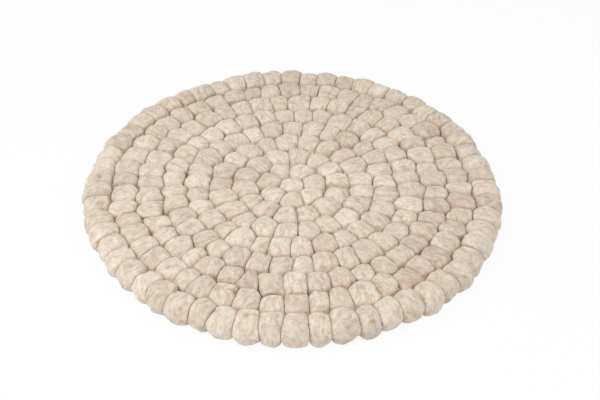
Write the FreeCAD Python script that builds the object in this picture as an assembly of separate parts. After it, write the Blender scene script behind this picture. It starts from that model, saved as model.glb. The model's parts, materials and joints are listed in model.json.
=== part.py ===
"""Round mat of wool felt balls: a centre ball and closed rounds of balls about it, one ball thick.

Each round is threaded on its own closed string, and cross threads run from rim to rim through the
centre ball and tie the rounds to one another. The balls press on their neighbours, so each has a
flat on every side that meets one, and a flat foot.

Frame: millimetres, +Z up, the origin under the middle of the centre ball, on the surface that the
mat lies on, with the front of the mat towards -Y.
"""
import FreeCAD, Part
import math
import os
import random

# Driving dimensions, in millimetres

rounds = 8              # closed rounds about the centre ball
round_pitch = 20.5      # room for one round of balls, measured out from the middle
rim_round = 23.5        # the outermost round has larger balls, so it takes this much instead
ball_spacing = 18.0     # from ball to ball along a round
ball_height = 22.0      # the mat is one ball thick
widest_ball = 24.0      # no ball is squeezed wider than this
rim_bulge = 1.5         # how far the outermost balls swell past their round's own room
edge_press = 6.0        # how far every edge between two pressed faces is rounded off
contact_gap = 0.2       # left between two balls that press on one another

thread_size = 1.0       # across the cotton thread
thread_clearance = 0.1  # left between a thread and the needle hole it runs in, on each side
thread_wall = 0.6       # felt between two needle holes that cross
cross_threads = 4       # threads that run from rim to rim
thread_end = 3.0        # how far a cross thread runs on past the string of the outermost round

# Hand sewing leaves each round turned a little against the next. These angles, in degrees
# anticlockwise from the front, place the first ball of each round, the innermost round first.
round_angles = [0.0, -6.0, -4.8, -6.3, -5.1, 1.3, 1.0, 0.7]
cross_angle = 12.0      # the first cross thread, in the same way
front = -90.0           # the front of the mat, from +X

# Undyed fleece comes in these shades, mixed at random. The weights are their shares.
shade_weights = {"cream": 0.34, "oatmeal": 0.30, "beige": 0.22, "grey": 0.14}
shade_seed = 11

# A chamfer takes no more than this share of the shortest side next to it.
chamfer_share = 0.42

# Sizes that follow

middle = ball_height / 2
needle_hole = thread_size + 2 * thread_clearance
thread_layer = needle_hole + thread_wall
UP = FreeCAD.Vector(0, 0, 1)
ORIGIN = FreeCAD.Vector(0, 0, 0)


def inner_edge(number):
    """How far out a round starts."""
    return (number - 0.5) * round_pitch


def outer_edge(number):
    """How far out a round ends."""
    return inner_edge(number) + (rim_round if number == rounds else round_pitch)


def string_radius(number):
    """A round's string runs through the middle of its balls."""
    return (inner_edge(number) + outer_edge(number)) / 2


def ball_count(number):
    """How many balls fill a round, at the spacing that they are pressed to."""
    return max(3, round(2 * math.pi * string_radius(number) / ball_spacing))


def first_angle(number):
    return front + round_angles[(number - 1) % len(round_angles)]


def turned(shape, angle):
    copy = shape.copy()
    copy.rotate(ORIGIN, UP, angle)
    return copy


def prism(points, height):
    """A straight prism on a closed outline, standing on the outline's own plane."""
    outline = Part.makePolygon(points + points[:1])
    return Part.Face(outline).extrude(UP * height)


def pressed(block):
    """A block of pressed faces, with every edge taken off as far as its sides allow."""
    shortest = min(edge.Length for edge in block.Edges)
    chamfer = min(edge_press, chamfer_share * shortest)
    return block.makeChamfer(chamfer, block.Edges)


def regular_outline(sides, apothem, height):
    """Corners of a regular polygon about the origin, with one flat square to +X."""
    reach = apothem / math.cos(math.pi / sides)
    corners = []
    for corner in range(sides):
        angle = (2 * corner + 1) * math.pi / sides
        corners.append(FreeCAD.Vector(reach * math.cos(angle), reach * math.sin(angle), height))
    return corners


def centre_ball():
    """It meets every ball of the first round, so it has a flat for each of them."""
    outline = regular_outline(ball_count(1), inner_edge(1) - contact_gap / 2, 0)
    return pressed(prism(outline, ball_height))


def round_ball(number):
    """One ball of a round, centred on +X: a wedge between its two neighbours in the round."""
    half_angle = math.pi / ball_count(number)
    inner_face = inner_edge(number) + contact_gap / 2
    outer_radius = outer_edge(number) - contact_gap / 2
    if number == rounds:
        outer_radius = outer_edge(number) + rim_bulge

    def half_width(reach):
        wedge = reach * math.tan(half_angle) - contact_gap / 2 / math.cos(half_angle)
        return min(wedge, widest_ball / 2)

    # The outer face is flat, so its corners are what must stay inside the outer radius.
    narrowest = 2 * half_width(inner_face)
    corner = half_width(outer_radius) - min(edge_press, chamfer_share * narrowest)
    outer_face = math.sqrt(outer_radius ** 2 - corner ** 2)
    outline = [
        FreeCAD.Vector(inner_face, -half_width(inner_face), 0),
        FreeCAD.Vector(outer_face, -half_width(outer_face), 0),
        FreeCAD.Vector(outer_face, half_width(outer_face), 0),
        FreeCAD.Vector(inner_face, half_width(inner_face), 0),
    ]
    return pressed(prism(outline, ball_height)).cut(string_hole(number))


def string_hole(number):
    """The needle hole of a round's string, straight through a ball that is centred on +X."""
    length = 2 * widest_ball
    corner = FreeCAD.Vector(string_radius(number) - needle_hole / 2, -length / 2, middle - needle_hole / 2)
    return Part.makeBox(needle_hole, length, needle_hole, corner)


def round_string(number):
    """A closed string: straight through each ball, with its turns in the gaps between them."""
    sides = ball_count(number)
    floor = middle - thread_size / 2
    outside = prism(regular_outline(sides, string_radius(number) + thread_size / 2, floor), thread_size)
    inside = prism(regular_outline(sides, string_radius(number) - thread_size / 2, floor), thread_size)
    return turned(outside.cut(inside), first_angle(number))


def cross_level(thread):
    """Cross threads pass over and under the strings, each in a layer of its own."""
    layer = thread // 2 + 1
    side = 1 if thread % 2 == 0 else -1
    return middle + side * layer * thread_layer


def cross_bar(thread, size, reach):
    """A square bar through the middle of the mat, on the line of one cross thread."""
    corner = FreeCAD.Vector(-reach, -size / 2, cross_level(thread) - size / 2)
    bar = Part.makeBox(2 * reach, size, size, corner)
    return turned(bar, front + cross_angle + thread * 180.0 / cross_threads)


def write(name, solids):
    Part.makeCompound(solids).exportStep("parts/" + name + ".step")


os.makedirs("parts", exist_ok=True)

cross_reach = string_radius(rounds) + thread_end
cross_holes = [
    cross_bar(thread, needle_hole, cross_reach + thread_clearance)
    for thread in range(cross_threads)
]

write("centre_ball", turned(centre_ball(), first_angle(1)).cut(cross_holes).Solids)

fleece = random.Random(shade_seed)
for number in range(1, rounds + 1):
    step = 360.0 / ball_count(number)
    pattern_ball = round_ball(number)
    balls = {shade: [] for shade in shade_weights}
    for place in range(ball_count(number)):
        angle = first_angle(number) + place * step
        shade = fleece.choices(list(shade_weights), list(shade_weights.values()))[0]
        balls[shade] += turned(pattern_ball, angle).cut(cross_holes).Solids
    for shade, solids in balls.items():
        if solids:
            write(f"round_{number}_{shade}_balls", solids)
    write(f"round_{number}_string", [round_string(number)])

for thread in range(cross_threads):
    write(f"cross_thread_{thread + 1}", [cross_bar(thread, thread_size, cross_reach)])
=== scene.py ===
"""Looks of the felt ball mat: pressed felt balls, cotton threads, floor and light."""
import json
import math
import re

import bmesh
import bpy
import numpy as np
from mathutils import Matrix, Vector


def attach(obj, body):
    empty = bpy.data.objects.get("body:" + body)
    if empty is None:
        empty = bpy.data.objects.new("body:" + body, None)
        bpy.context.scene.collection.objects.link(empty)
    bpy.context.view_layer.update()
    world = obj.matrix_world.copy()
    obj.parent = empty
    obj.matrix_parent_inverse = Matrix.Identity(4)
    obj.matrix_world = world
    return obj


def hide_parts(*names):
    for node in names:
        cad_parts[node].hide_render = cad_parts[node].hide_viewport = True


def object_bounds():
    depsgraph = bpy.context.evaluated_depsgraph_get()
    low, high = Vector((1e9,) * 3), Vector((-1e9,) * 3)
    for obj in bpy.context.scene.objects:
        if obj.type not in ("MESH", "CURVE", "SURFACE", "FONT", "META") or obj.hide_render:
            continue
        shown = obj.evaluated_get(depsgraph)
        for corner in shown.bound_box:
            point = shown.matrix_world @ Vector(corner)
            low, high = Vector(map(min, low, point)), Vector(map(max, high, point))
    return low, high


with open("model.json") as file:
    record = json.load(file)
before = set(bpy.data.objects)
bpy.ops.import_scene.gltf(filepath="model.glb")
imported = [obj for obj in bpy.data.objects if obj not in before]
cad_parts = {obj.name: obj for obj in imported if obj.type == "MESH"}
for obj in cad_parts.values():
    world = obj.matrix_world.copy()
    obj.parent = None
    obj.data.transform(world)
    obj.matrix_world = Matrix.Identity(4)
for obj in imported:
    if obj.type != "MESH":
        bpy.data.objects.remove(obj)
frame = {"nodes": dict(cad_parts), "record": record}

cad_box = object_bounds()
MM = 0.001
rng = np.random.default_rng(20)

# ---------------------------------------------------------------- sizes from the frame

MAT_HEIGHT = cad_box[1][2] - cad_box[0][2]
MAT_RADIUS = (cad_box[1][0] - cad_box[0][0]) / 2
MIDDLE = cad_box[0][2] + MAT_HEIGHT / 2


def solid_centres(node):
    """Centre of volume of each separate solid in a CAD node, in order round the mat."""
    mesh = bmesh.new()
    mesh.from_mesh(node.data)
    bmesh.ops.remove_doubles(mesh, verts=mesh.verts, dist=1e-6)
    bmesh.ops.triangulate(mesh, faces=mesh.faces)
    seen = set()
    centres = []
    for start in mesh.faces:
        if start in seen:
            continue
        seen.add(start)
        waiting = [start]
        volume = 0.0
        moment = Vector()
        while waiting:
            face = waiting.pop()
            a, b, c = (vert.co for vert in face.verts)
            part = a.dot(b.cross(c)) / 6
            volume += part
            moment += part * (a + b + c) / 4
            for edge in face.edges:
                for other in edge.link_faces:
                    if other not in seen:
                        seen.add(other)
                        waiting.append(other)
        centres.append(moment / volume)
    mesh.free()
    return sorted(centres, key=lambda centre: math.atan2(centre.y, centre.x))


def find_balls():
    """Each felt ball: its round, its CAD node and its centre."""
    middle = solid_centres(frame["nodes"]["centre_ball"])[0]
    balls = [{"round": 0, "node": "centre_ball", "centre": middle}]
    for name, node in sorted(frame["nodes"].items()):
        match = re.fullmatch(r"round_(\d+)_\w+_balls", name)
        if match:
            for centre in solid_centres(node):
                balls.append({"round": int(match.group(1)), "node": name, "centre": centre})
    balls.sort(key=lambda ball: (ball["round"], math.atan2(ball["centre"].y, ball["centre"].x)))
    return balls


BALLS = find_balls()
ROUNDS = max(ball["round"] for ball in BALLS)
ROUND_PITCH = BALLS[1]["centre"].xy.length

# ---------------------------------------------------------------- the pressed ball form

BALL_DETAIL = 5                     # subdivisions of the ball's mesh
SIZE_SPREAD = 0.35 * MM             # how much a ball pushes its neighbours back
OVER_SPREAD = 0.8 * MM              # how far a ball sits off its even place, out from the middle,
ALONG_SPREAD = 0.8 * MM             # along its round
LIFT_SPREAD = 0.45 * MM             # and up or down
TILT_SPREAD = 0.10                  # how much the side between two balls leans
SHIFT_SPREAD = 0.3 * MM             # how far it sits from its even place
BOW_SPREAD = 0.010 / MM             # and how much it bows into one of them
RIM_CALM = 0.55                     # share of the unevenness along the rim round
SQUEEZE = 10.5                      # how sharp the edge round a pressed side is
CORNER_SQUEEZE = 8.0                # and the corner between two pressed sides
ROUNDNESS = (0.90, 1.14)            # half sizes of one free ball, as a share of the usual
HIDDEN_FILL = 0.4                   # low down, out of sight, a ball is this much fuller
HIDDEN_CORNER = 22.0                # and its corners this much sharper, so no hole is left,
HIDDEN_FROM = 0.35                  # wherever a direction rises by less than this share
HIDDEN_INWARD = 0.3                 # and, in the rim round, points inward by this share
REACH = 31 * MM                     # balls nearer than this press on one another
PRESSED = (0.86, 0.98)              # share of the way to a neighbour at which lumps flatten
OVERLAP = 0.3 * MM                  # how far two pressed balls reach into one another's fibres

# half sizes of a ball that nothing presses
OVER_INNER_ROUND = 15.5 * MM        # out from the middle of the mat, near the middle
OVER_OUTER_ROUND = 19.0 * MM        # and at the rim
OUTSIDE_REACH = 11.2 * MM           # out over the rim
ALONG_INNER_ROUND = 13.8 * MM       # along its round, near the middle
ALONG_OUTER_ROUND = 19.0 * MM       # and at the rim,
ALONG_BELOW_RIM = 13.0 * MM         # where the lower half is rounder
BELOW = 13.0 * MM                   # downwards

# the sewn mat isn't as even as the CAD: its heart is drawn in and sits off the middle,
HEART_DRAW = 2.0 * MM
HEART_DRIFT = (-0.7 * MM, -1.5 * MM)
HEART_ROUNDS = 4                    # both fade out over this many rounds,
DRAW_ROUNDS = 2                     # and within this many there is less to draw in,
INNER_SINK = 0.7 * MM               # balls inside the rim round are a little lower,
LOOSE_ROUNDS = 4                    # balls sit most evenly within this many rounds,
LOOSE_LEAST = 0.4                   # where this share of the unevenness is left,
# and the mat isn't quite round: bearing, depth and half width of each flat stretch
FLATS = (
    (8, 4.0 * MM, 18),
    (215, 3.0 * MM, 40),
    (290, 1.5 * MM, 14),
    (332, 1.5 * MM, 12),
)
FLAT_ROUNDS = 6                     # a flat stretch comes up over this many rounds

# ---------------------------------------------------------------- the wool of one ball

LUMP_HEIGHT, LUMP_WAVE = 0.32 * MM, 12 * MM
SMALL_LUMP_HEIGHT, SMALL_LUMP_WAVE = 0.10 * MM, 4.5 * MM
WAVES = 26                          # that make up one random field,
WAVE_SPREAD = (0.7, 1.5)            # and the spread of their lengths
PLEAT_HEIGHT = 0.09 * MM
PLEAT_WAVE = 3.0 * MM               # from one fine pleat to the next
PLEAT_SLANT = 0.5                   # how much pleats lean from straight over the ball
PLEAT_STRETCH = 0.22                # how much a pleat is stretched along its run
PLEAT_PATCH = 14 * MM               # pleats come and go over this distance,
PLEAT_USUAL, PLEAT_CHANGE, PLEAT_MOST = 0.45, 0.55, 1.3     # with this strength
CREASE_DEPTH = 0.5 * MM
CREASE_WIDTH = 0.09                 # as a share of the spread of the winding field
CREASE_WAVE = 14 * MM
CREASE_PATCH = 13 * MM              # creases come and go over this distance
CREASE_RARITY = 0.3                 # the more, the less of a ball has any
CREASE_SHADE = 0.6                   # how dark the painted shade in a crease is, against a tuck
TUCK_SHARE = 0.10                   # share of the balls with a deep tuck in the wool
TUCK_DEPTH = 2.2 * MM
TUCK_WIDTH = 0.17                   # of the ball's half size
TUCK_SPREAD, TUCK_LIFT = (1, 1, 0.3), (0, 0, 0.9)   # tucks lie mostly on the upper half
FOLD_SHARE = 0.6                    # depth of the fold that leads into a tuck, its bend,
FOLD_BEND = 0.5
FOLD_WIDTH = 0.10                   # its width, middle and length, of the ball's half size
FOLD_MIDDLE, FOLD_LENGTH = 0.3, 0.35
WINDING_SPREAD = 0.4                # how far the winding turns from straight over the ball
WOOL_OFFSET = 500                   # each ball's wool starts elsewhere in the noise, up to so far

GREYER_SIDE = 340                   # bearing at which the outer rounds are greyer,
GREYER_WIDTH = 45                   # half width of that stretch in degrees,
GREYER_ROUNDS = 2                   # in how many rounds inside the rim,
GREYER_TONE = 1.4                   # and how much greyer it is
OUTWARD_TONE = 1.2                  # how much greyer the rim is than the heart,
EVEN_TONE = 0.6                     # with the usual grey at this share of the way out


def ball_directions():
    """Unit vectors and faces of a fine round ball."""
    mesh = bmesh.new()
    bmesh.ops.create_icosphere(mesh, subdivisions=BALL_DETAIL, radius=1.0)
    mesh.verts.ensure_lookup_table()
    points = np.array([vert.co[:] for vert in mesh.verts])
    faces = [[vert.index for vert in face.verts] for face in mesh.faces]
    mesh.free()
    return points / np.linalg.norm(points, axis=1)[:, None], faces


def ripple(points, wavelength):
    """A smooth random field with about unit spread, as a sum of plane waves."""
    heading = rng.normal(size=(WAVES, 3))
    heading /= np.linalg.norm(heading, axis=1)[:, None]
    heading *= 2 * math.pi / (wavelength * rng.uniform(*WAVE_SPREAD, size=(WAVES, 1)))
    phase = rng.uniform(0, 2 * math.pi, size=WAVES)
    return np.sin(points @ heading.T + phase).sum(axis=1) * math.sqrt(2 / WAVES)


def turn(bearing, middle):
    """Degrees from one bearing to another, the short way round."""
    return (bearing - middle + 180) % 360 - 180


def sewn_places():
    """Ball centres as the hand-sewn mat has them, near the even places of the CAD."""
    places = np.array([ball["centre"][:] for ball in BALLS])
    distance = np.hypot(places[:, 0], places[:, 1])
    bearing = np.degrees(np.arctan2(places[:, 1], places[:, 0]))
    outward = places * (1, 1, 0) / np.maximum(distance, ROUND_PITCH / 2)[:, None]
    along = np.cross((0, 0, 1), outward)
    rim = np.array([ball["round"] == ROUNDS for ball in BALLS])
    near_heart = np.exp(-(distance / (HEART_ROUNDS * ROUND_PITCH)) ** 2)
    drawn_in = HEART_DRAW * near_heart * np.clip(distance / (DRAW_ROUNDS * ROUND_PITCH), 0, 1)
    faded = np.clip(distance / (FLAT_ROUNDS * ROUND_PITCH), 0, 1)
    for middle, depth, half_width in FLATS:
        drawn_in += depth * np.exp(-(turn(bearing, middle) / half_width) ** 2) * faded
    loose = np.clip(rng.normal(size=(len(places), 3)), -2, 2)
    loose *= np.clip(distance / (LOOSE_ROUNDS * ROUND_PITCH), LOOSE_LEAST, 1)[:, None]
    places += outward * (loose[:, :1] * OVER_SPREAD - drawn_in[:, None])
    places += along * loose[:, 1:2] * np.where(rim, RIM_CALM, 1)[:, None] * ALONG_SPREAD
    places[:, 2] += loose[:, 2] * LIFT_SPREAD - np.where(rim, 0, INNER_SINK)
    places[:, :2] += near_heart[:, None] * HEART_DRIFT
    return places


def shared_side(one, other):
    """Lean, shift and bow of the side between two balls, the same for both."""
    pair = np.random.default_rng((min(one, other), max(one, other)))
    lean = pair.normal(size=3) * TILT_SPREAD
    shift_and_bow = pair.normal(size=2) * (SHIFT_SPREAD, BOW_SPREAD)
    side = np.concatenate([lean, shift_and_bow])
    if BALLS[one]["round"] == BALLS[other]["round"] == ROUNDS:
        side *= RIM_CALM
    side = side if one < other else -side
    return side[:3], side[3], side[4]


def push_of(facing, distance, bow):
    """One over the reach, each way, of a side at this distance that bows by this much."""
    toward = np.clip(DIRECTIONS @ facing, 0, None)
    bent = toward ** 2 - 4 * bow * distance * (1 - toward ** 2)
    root = np.where(bent > 0, toward + np.sqrt(np.maximum(bent, 0)), 0)
    return root / (2 * distance) * (toward > 0)


def own_axes(index, centre):
    """A ball's directions out from the middle of the mat and along its round."""
    if BALLS[index]["round"] == 0:
        return np.array((1.0, 0.0, 0.0)), np.array((0.0, 1.0, 0.0))
    outward = centre * (1, 1, 0) / np.linalg.norm(centre[:2])
    return outward, np.cross((0, 0, 1), outward)


def pressed_points(index, centres, swell, roundness):
    """Reach of one ball each way: round where it is free, flat where something presses."""
    centre = centres[index]
    outward, along = own_axes(index, centre)
    over = DIRECTIONS @ outward
    sideways = DIRECTIONS @ along
    up = DIRECTIONS[:, 2]
    round_number = BALLS[index]["round"]
    on_rim = round_number == ROUNDS
    half_along = np.interp(round_number, (1, ROUNDS), (ALONG_INNER_ROUND, ALONG_OUTER_ROUND))
    half_along = half_along * roundness[index]
    half_over = np.interp(round_number, (1, ROUNDS), (OVER_INNER_ROUND, OVER_OUTER_ROUND))
    half_over = half_over * roundness[index]
    top = MAT_HEIGHT / 2 + swell[index]
    hidden = np.interp(up, (0.0, HIDDEN_FROM), (1.0, 0.0))
    if on_rim:
        half_along = np.where(up > 0, half_along, ALONG_BELOW_RIM)
        half_over = np.where(over > 0, OUTSIDE_REACH, half_over)
        hidden = hidden * np.clip(-over / HIDDEN_INWARD, 0, 1)
    else:
        top -= INNER_SINK
    half_over = (half_over + swell[index]) * (1 + HIDDEN_FILL * hidden)
    half_along = half_along * (1 + HIDDEN_FILL * hidden)
    half_height = np.where(up > 0, top, BELOW)
    corner = CORNER_SQUEEZE + HIDDEN_CORNER * hidden
    free = np.sqrt(
        (over / half_over) ** 2 + (sideways / half_along) ** 2 + (up / half_height) ** 2)
    floor_push = np.clip(-up / (centre[2] - cad_box[0][2]), 0, None)
    pressing = free ** SQUEEZE + floor_push ** SQUEEZE
    contact = np.zeros(len(DIRECTIONS))
    sides = np.zeros(len(DIRECTIONS))
    for other, place in enumerate(centres):
        gap = place - centre
        apart = np.linalg.norm(gap)
        if other == index or apart > REACH:
            continue
        tilt, shift, bow = shared_side(index, other)
        facing = gap / apart + tilt
        facing /= np.linalg.norm(facing)
        distance = facing @ gap / 2 + shift + swell[index] - swell[other] + OVERLAP
        push = push_of(facing, distance, bow)
        sides += push ** corner
        contact = np.maximum(contact, push)
    radius = (pressing + sides ** (SQUEEZE / corner)) ** (-1 / SQUEEZE)
    return radius, contact * radius


def pleats(local, outward, along):
    """Fine folds that run over the ball, squeezed up between its neighbours."""
    slant = rng.normal() * PLEAT_SLANT
    across = along * math.cos(slant) + outward * math.sin(slant)
    long_way = outward * math.cos(slant) - along * math.sin(slant)
    stretched = [PLEAT_STRETCH * (local @ long_way), PLEAT_STRETCH * local[:, 2]]
    drawn = np.stack([local @ across, *stretched], axis=1)
    folds = ripple(drawn, PLEAT_WAVE)
    strength = PLEAT_USUAL + PLEAT_CHANGE * ripple(local, PLEAT_PATCH)
    return folds * np.clip(strength, 0, PLEAT_MOST)


def tuck():
    """A pit where the wool was folded in, with a short fold that leads into it."""
    if rng.uniform() > TUCK_SHARE:
        return np.zeros(len(DIRECTIONS))
    aim = rng.normal(size=3) * TUCK_SPREAD + TUCK_LIFT
    aim /= np.linalg.norm(aim)
    tail = np.cross(aim, rng.normal(size=3))
    tail /= np.linalg.norm(tail)
    side = np.cross(aim, tail)
    along_tail = DIRECTIONS @ tail
    facing = DIRECTIONS @ aim > 0
    pit = np.exp(-(along_tail ** 2 + (DIRECTIONS @ side) ** 2) / TUCK_WIDTH ** 2)
    bend = DIRECTIONS @ side - FOLD_BEND * along_tail ** 2
    fold = np.exp(-(bend / FOLD_WIDTH) ** 2 - ((along_tail - FOLD_MIDDLE) / FOLD_LENGTH) ** 2)
    return facing * np.maximum(pit, FOLD_SHARE * fold)


def fleece_tone(ball):
    """How grey one ball is: by chance, and more so outward and in one stretch."""
    bearing = math.degrees(math.atan2(ball["centre"].y, ball["centre"].x))
    off = turn(bearing, GREYER_SIDE)
    outer = ROUNDS - GREYER_ROUNDS <= ball["round"] < ROUNDS
    outward = OUTWARD_TONE * (ball["round"] / ROUNDS - EVEN_TONE)
    return rng.normal() + outward + outer * GREYER_TONE * math.exp(-(off / GREYER_WIDTH) ** 2)


def felt_ball(index, centres, swell, roundness, material):
    """One felt ball as its own piece, with lumps, creases and the fields that colour it."""
    ball = BALLS[index]
    outward, along = own_axes(index, centres[index])
    radius, contact = pressed_points(index, centres, swell, roundness)
    local = DIRECTIONS * radius[:, None]
    lumps = LUMP_HEIGHT * ripple(local, LUMP_WAVE)
    lumps += SMALL_LUMP_HEIGHT * ripple(local, SMALL_LUMP_WAVE)
    winding = ripple(local, CREASE_WAVE)
    crease = np.exp(-(winding / CREASE_WIDTH) ** 2)
    crease *= np.clip(ripple(local, CREASE_PATCH) - CREASE_RARITY, 0, 1)
    tucked = tuck()
    relief = lumps + PLEAT_HEIGHT * pleats(local, outward, along)
    relief *= np.where(relief > 0, np.interp(contact, PRESSED, (1, 0)), 1)
    radius = radius + relief - CREASE_DEPTH * crease - TUCK_DEPTH * tucked
    points = centres[index] + DIRECTIONS * radius[:, None]
    points[:, 2] = np.maximum(points[:, 2], cad_box[0][2])

    name = f"felt_ball_{ball['round']}_{ball['place']}" if ball["round"] else "centre_felt_ball"
    mesh = bpy.data.meshes.new(name)
    mesh.from_pydata(points.tolist(), [], BALL_FACES)
    mesh.shade_smooth()
    axes = np.stack([along, outward, (0, 0, 1)], axis=1)
    wound = np.linalg.qr(axes + WINDING_SPREAD * rng.normal(size=(3, 3)))[0]
    place = (local @ wound) / MM + rng.uniform(-WOOL_OFFSET, WOOL_OFFSET, size=3)
    add_field(mesh, "fleece_place", "FLOAT_VECTOR", place.ravel(), "vector")
    add_field(mesh, "fleece_tone", "FLOAT", np.full(len(points), fleece_tone(ball)), "value")
    add_field(mesh, "fleece_hue", "FLOAT", np.full(len(points), rng.normal()), "value")
    # painted shade: where creases and tucks lie, for the material to darken them
    add_field(mesh, "fold_shade", "FLOAT", np.clip(CREASE_SHADE * crease + tucked, 0, 1), "value")
    add_field(mesh, "fleece_press", "FLOAT", contact, "value")
    piece = bpy.data.objects.new(name, mesh)
    bpy.context.scene.collection.objects.link(piece)
    mesh.materials.append(material)
    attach(piece, "root")
    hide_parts(ball["node"])


def add_field(mesh, name, kind, values, key):
    """A named value at every point of a mesh, for its material to read."""
    field = mesh.attributes.new(name, kind, "POINT")
    field.data.foreach_set(key, values.astype(np.float32))


# ---------------------------------------------------------------- materials


class Nodes:
    """Short calls for building the nodes of one material or world."""

    def __init__(self, owner):
        owner.use_nodes = True
        self.tree = owner.node_tree
        self.tree.nodes.clear()

    def add(self, kind, inputs=None, **settings):
        node = self.tree.nodes.new("ShaderNode" + kind)
        for key, value in settings.items():
            setattr(node, key, value)
        for key, value in (inputs or {}).items():
            if isinstance(value, bpy.types.NodeSocket):
                self.tree.links.new(value, node.inputs[key])
            else:
                node.inputs[key].default_value = value
        return node

    def field(self, name, output):
        return self.add("Attribute", attribute_name=name).outputs[output]

    def math(self, operation, first, second=0.0):
        return self.add("Math", {0: first, 1: second}, operation=operation).outputs[0]

    def noise(self, place, scale, detail=3.0, roughness=0.55, distortion=0.0):
        inputs = {"Vector": place, "Scale": scale, "Detail": detail}
        inputs |= {"Roughness": roughness, "Distortion": distortion}
        return self.add("TexNoise", inputs).outputs[0]

    def stretch(self, place, amount):
        """A place for noise that is drawn out along the axes with a small amount."""
        return self.add("Mapping", {"Vector": place, "Scale": amount}).outputs[0]

    def span(self, value, low, high, to_low=0.0, to_high=1.0):
        """A value between low and high, as its share of the way from to_low to to_high."""
        inputs = {"Value": value, "From Min": low, "From Max": high}
        inputs |= {"To Min": to_low, "To Max": to_high}
        return self.add("MapRange", inputs, clamp=True).outputs[0]

    def blend(self, factor, first, second):
        """Two colours, mixed: all first at nought, all second at one."""
        return self.add("Mix", {0: factor, 6: first, 7: second}, data_type="RGBA").outputs[2]

    def shifted(self, value, by, amount):
        """A value, moved by so much of another."""
        return self.math("ADD", value, self.math("MULTIPLY", by, amount))

    def seen(self):
        """One where the camera looks at it, straight, in a gloss or through something clear."""
        ray = self.add("LightPath").outputs
        seen = self.math("MAXIMUM", ray["Is Camera Ray"], ray["Is Glossy Ray"])
        return self.math("MAXIMUM", seen, ray["Is Transmission Ray"])


def shade(red, green, blue):
    """A colour as it looks on screen, in the linear values that shaders take."""
    screen = np.array((red, green, blue)) / 255
    linear = np.where(screen <= 0.04045, screen / 12.92, ((screen + 0.055) / 1.055) ** 2.4)
    return (*(float(value) for value in linear), 1.0)


# painted shade: the brown of creases, tucks and the grooves between pressed balls
CREVICE_SHADE = shade(176, 126, 80)
WARM_HAIR = shade(186, 156, 124)
COOL_HAIR = shade(164, 146, 134)
PALE_HAIR = shade(238, 225, 211)
ROSY_WOOL = shade(219, 200, 187)
GOLDEN_WOOL = shade(235, 219, 194)
WISP_BROWN = shade(180, 154, 133)
SHEEN = shade(250, 243, 232)

# light and dark shade of each wool, by material slot
WOOLS = {
    "wool_cream": (shade(238, 228, 213), shade(218, 207, 190)),
    "wool_oatmeal": (shade(234, 224, 208), shade(214, 202, 184)),
    "wool_beige": (shade(231, 219, 203), shade(209, 196, 178)),
    "wool_grey": (shade(226, 215, 201), shade(202, 190, 175)),
}
WANDER_SCALE, WANDER = 0.10, 9.0    # how the streaks wind, and how far, in mm
MOTTLE = (0.16, 3.0, 0.6, 0.8)      # scale, detail, roughness and distortion
MOTTLE_SPAN = (0.36, 0.66)          # from the light to the dark shade
MOTTLE_BY_TONE = 0.06               # how much more of the dark shade greyer wool has
ROSY_STRETCH = (0.16, 0.08, 0.10)
ROSY_BY_HUE = 0.05                  # how much a ball's own hue adds
ROSY_SPAN = (0.47, 0.66, 0.0, 0.6)
GOLDEN_SPAN = (0.36, 0.50, 0.30, 0.0)

# streaks of other wool in the order they are laid down: stretch of the noise, its detail and
# roughness, where a streak starts and is full, its strength, how much more of it greyer wool
# has, and its colour (none: the dark shade of the wool itself)
STREAKS = {
    "cool": ((0.45, 0.10, 0.14), 3.0, 0.60, 0.46, 0.68, 0.38, 0.0, COOL_HAIR),
    "warm": ((0.36, 0.16, 0.08), 3.0, 0.60, 0.48, 0.70, 0.36, 0.0, WARM_HAIR),
    "pale": ((0.40, 0.06, 0.18), 3.0, 0.60, 0.42, 0.68, 0.34, 0.0, PALE_HAIR),
    "wisps": ((0.30, 0.09, 0.13), 5.0, 0.65, 0.52, 0.70, 0.66, 0.02, WISP_BROWN),
    "flecks": ((0.95, 0.35, 0.45), 2.0, 0.60, 0.50, 0.70, 0.28, 0.0, COOL_HAIR),
    "fibres": ((1.80, 0.25, 0.40), 3.0, 0.65, 0.38, 0.68, 0.12, 0.0, None),
}
FOLD_STRENGTH = 0.6                 # how dark the painted shade in creases and tucks is
PRESS_FROM = 0.68                   # painted shade between balls starts at this share of the way to a neighbour,
PRESS_POWER = 2.2                   # the faster the nearer,
PRESS_SCALE = 0.22                  # in patches of this scale
PRESS_SPAN = (0.38, 0.62, 0.02, 0.20)
BUMP_STRENGTH, BUMP_HEIGHT = 0.28, 0.5 * MM
STREAK_BUMP = 0.4                   # height of the streaks against that of the fibres
ROUGH_SPAN = (0.3, 0.7, 0.84, 1.0)
SPECULAR = 0.12
SHEEN_SHARE, SHEEN_ROUGHNESS = 0.08, 0.6
SCATTER = 0.75                      # share of the light that scatters under the surface,
SCATTER_RADIUS = (3.4 * MM, 2.9 * MM, 2.5 * MM)     # and how far: red, green and blue


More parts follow.
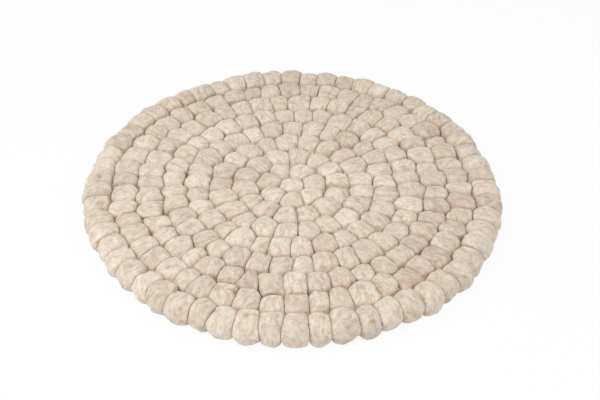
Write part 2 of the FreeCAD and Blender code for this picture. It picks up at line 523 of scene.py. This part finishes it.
def felt(name, light, dark):
    """Felted fleece: mottled, with winding streaks of other wool and matted fine fibres, and
    painted shade in folds and between pressed balls.
    """
    material = bpy.data.materials.new(name)
    nodes = Nodes(material)
    place = nodes.field("fleece_place", "Vector")
    wander = nodes.add("TexNoise", {"Vector": place, "Scale": WANDER_SCALE, "Detail": 1.0})
    wander = nodes.add("VectorMath", {0: wander.outputs["Color"], 3: WANDER}, operation="SCALE")
    wound = nodes.add("VectorMath", {0: place, 1: wander.outputs[0]}, operation="ADD").outputs[0]
    tone = nodes.field("fleece_tone", "Fac")
    mottle = nodes.shifted(nodes.noise(place, *MOTTLE), tone, MOTTLE_BY_TONE)
    colour = nodes.blend(nodes.span(mottle, *MOTTLE_SPAN), light, dark)
    rosy = nodes.noise(nodes.stretch(wound, ROSY_STRETCH), 1.0, 2.0, 0.5)
    rosy = nodes.shifted(rosy, nodes.field("fleece_hue", "Fac"), ROSY_BY_HUE)
    colour = nodes.blend(nodes.span(rosy, *ROSY_SPAN), colour, ROSY_WOOL)
    colour = nodes.blend(nodes.span(rosy, *GOLDEN_SPAN), colour, GOLDEN_WOOL)

    noises = {}
    for kind, (drawn, detail, rough, low, high, strength, by_tone, tint) in STREAKS.items():
        streak = nodes.noise(nodes.stretch(wound, drawn), 1.0, detail, rough)
        noises[kind] = streak
        if by_tone:
            streak = nodes.shifted(streak, tone, by_tone)
        colour = nodes.blend(nodes.span(streak, low, high, 0.0, strength), colour, tint or dark)

    # painted shade in creases and tucks, darkened towards brown
    fold = nodes.math("MULTIPLY", nodes.field("fold_shade", "Fac"), FOLD_STRENGTH)
    colour = nodes.blend(fold, colour, CREVICE_SHADE)
    # painted shade in the grooves between pressed balls, darker nearer a neighbour, in patches
    near = nodes.span(nodes.field("fleece_press", "Fac"), PRESS_FROM, 1.0)
    patchy = nodes.span(nodes.noise(place, PRESS_SCALE, 1.0), *PRESS_SPAN)
    contact_shade = nodes.math("MULTIPLY", nodes.math("POWER", near, PRESS_POWER), patchy)
    colour = nodes.blend(contact_shade, colour, CREVICE_SHADE)

    strands = nodes.math("ADD", noises["warm"], noises["cool"])
    matted = nodes.shifted(noises["fibres"], strands, STREAK_BUMP)
    bump = nodes.add("Bump", {"Height": matted, "Strength": BUMP_STRENGTH, "Distance": BUMP_HEIGHT})
    surface = nodes.add("BsdfPrincipled", {
        "Base Color": colour, "Normal": bump.outputs[0],
        "Roughness": nodes.span(noises["fibres"], *ROUGH_SPAN), "Specular IOR Level": SPECULAR,
        "Sheen Weight": SHEEN_SHARE, "Sheen Roughness": SHEEN_ROUGHNESS, "Sheen Tint": SHEEN,
        "Subsurface Weight": SCATTER, "Subsurface Scale": 1.0, "Subsurface Radius": SCATTER_RADIUS,
    })
    nodes.add("OutputMaterial", {"Surface": surface.outputs[0]})
    return material


TWIST_SCALE = 700.0                 # of the waves that stand for the thread's twist
THREAD_DARK, THREAD_LIGHT = shade(176, 154, 130), shade(214, 196, 172)


def cotton():
    """Twisted cotton sewing thread."""
    material = bpy.data.materials.new("cotton_thread")
    nodes = Nodes(material)
    place = nodes.add("TexCoord").outputs["Object"]
    waves = {"Vector": place, "Scale": TWIST_SCALE, "Distortion": 1.5, "Detail": 2.0}
    twist = nodes.add("TexWave", waves, bands_direction="DIAGONAL").outputs["Fac"]
    bump = nodes.add("Bump", {"Height": twist, "Strength": 0.6, "Distance": 0.2 * MM}).outputs[0]
    surface = nodes.add("BsdfPrincipled", {
        "Base Color": nodes.blend(twist, THREAD_DARK, THREAD_LIGHT), "Normal": bump,
        "Roughness": nodes.span(twist, 0.0, 1.0, 0.75, 0.95), "Sheen Weight": 0.2,
    })
    nodes.add("OutputMaterial", {"Surface": surface.outputs[0]})
    return material


SLOT_OF = {part["node"]: part["material_slot"] for part in frame["record"]["subparts"]}
FELTS = {name: felt(name, light, dark) for name, (light, dark) in WOOLS.items()}
COTTON = cotton()

# ---------------------------------------------------------------- build the mat

DIRECTIONS, BALL_FACES = ball_directions()


def build_mat():
    """Every felt ball as a piece, and cotton on the strings and threads."""
    places = sewn_places()
    swell = rng.normal(size=len(BALLS)) * SIZE_SPREAD
    roundness = rng.uniform(*ROUNDNESS, size=len(BALLS))
    counted = {}
    for index, ball in enumerate(BALLS):
        counted[ball["round"]] = counted.get(ball["round"], 0) + 1
        ball["place"] = counted[ball["round"]]
        felt_ball(index, places, swell, roundness, FELTS[SLOT_OF[ball["node"]]])
    for name, node in frame["nodes"].items():
        if "string" in name or "thread" in name:
            node.data.materials.clear()
            node.data.materials.append(COTTON)


build_mat()

# ---------------------------------------------------------------- floor, light and camera

FLOOR_SIZE = 6.0
FLOOR_GREY = 0.9                    # what light meets on the floor
FLOOR_WHITE = 0.92                  # share of plain white in what the camera sees of it,
CLEAR = (0.86, 0.92)                # out from here, as shares of the mat's radius
WHITE = (1.0, 1.0, 1.0, 1.0)
WORLD_WHITE = 0.955                 # brightness of the world to the camera
WORLD_LIGHT = 0.44                  # and to the mat


def pale_floor():
    """White to the camera round the mat, matt with the mat's shadow on it under the mat."""
    mesh = bmesh.new()
    bmesh.ops.create_grid(mesh, x_segments=1, y_segments=1, size=FLOOR_SIZE / 2)
    data = bpy.data.meshes.new("floor")
    mesh.to_mesh(data)
    mesh.free()
    floor = bpy.data.objects.new("floor", data)
    floor.location.z = cad_box[0][2]
    bpy.context.scene.collection.objects.link(floor)
    material = bpy.data.materials.new("pale_floor")
    nodes = Nodes(material)
    grey = (FLOOR_GREY, FLOOR_GREY, FLOOR_GREY, 1.0)
    matt = nodes.add("BsdfDiffuse", {"Color": grey}).outputs[0]
    white = nodes.add("Emission", {"Color": WHITE, "Strength": 1.0}).outputs[0]
    place = nodes.add("NewGeometry").outputs["Position"]
    reach = nodes.add("VectorMath", {0: place}, operation="LENGTH").outputs["Value"]
    start, full = (share * MAT_RADIUS for share in CLEAR)
    clear = nodes.span(reach, start, full, 0.0, FLOOR_WHITE)
    shown = nodes.math("MULTIPLY", nodes.seen(), clear)
    mixed = nodes.add("MixShader", {0: shown, 1: matt, 2: white}).outputs[0]
    nodes.add("OutputMaterial", {"Surface": mixed})
    data.materials.append(material)


def soft_world():
    """White to the camera, a soft even light to the mat."""
    world = bpy.data.worlds.new("studio")
    nodes = Nodes(world)
    light = nodes.add("Background", {"Color": WHITE, "Strength": WORLD_LIGHT}).outputs[0]
    white = nodes.add("Background", {"Color": WHITE, "Strength": WORLD_WHITE}).outputs[0]
    mixed = nodes.add("MixShader", {0: nodes.seen(), 1: light, 2: white}).outputs[0]
    nodes.add("OutputWorld", {"Surface": mixed})
    bpy.context.scene.world = world


def aim_at_mat(item):
    """Turns a lamp or camera to the middle of the mat and puts it in the scene."""
    aim = Vector((0, 0, MIDDLE)) - item.location
    item.rotation_euler = aim.to_track_quat("-Z", "Y").to_euler()
    bpy.context.scene.collection.objects.link(item)


def soft_box(name, place, size, power):
    """A square area lamp that points at the middle of the mat."""
    data = bpy.data.lights.new(name, "AREA")
    data.size = size
    data.energy = power
    lamp = bpy.data.objects.new(name, data)
    lamp.location = place
    aim_at_mat(lamp)


ELEVATION = math.radians(38.6)
DISTANCE = 0.906
LENS, SENSOR = 63.8, 36.0           # in mm, as Blender has them
SHIFT = (0.0123, -0.0175)           # of the frame against the middle of the mat
CLIP_START = 0.01


def camera():
    """The camera where the photograph was taken from."""
    data = bpy.data.cameras.new("camera")
    data.lens = LENS
    data.sensor_width = SENSOR
    data.shift_x, data.shift_y = SHIFT
    data.clip_start = CLIP_START
    eye = bpy.data.objects.new("camera", data)
    eye.location = (0, -DISTANCE * math.cos(ELEVATION), MIDDLE + DISTANCE * math.sin(ELEVATION))
    aim_at_mat(eye)
    bpy.context.scene.camera = eye


pale_floor()
soft_world()
soft_box("key_light", place=(-0.8, -0.27, 0.9), size=0.8, power=6.2)
soft_box("side_light", place=(0.8, -0.32, 0.9), size=0.8, power=3.2)
soft_box("front_light", place=(-0.1, -0.6, 1.05), size=0.7, power=4.0)
camera()
bpy.context.scene.view_settings.view_transform = "Standard"
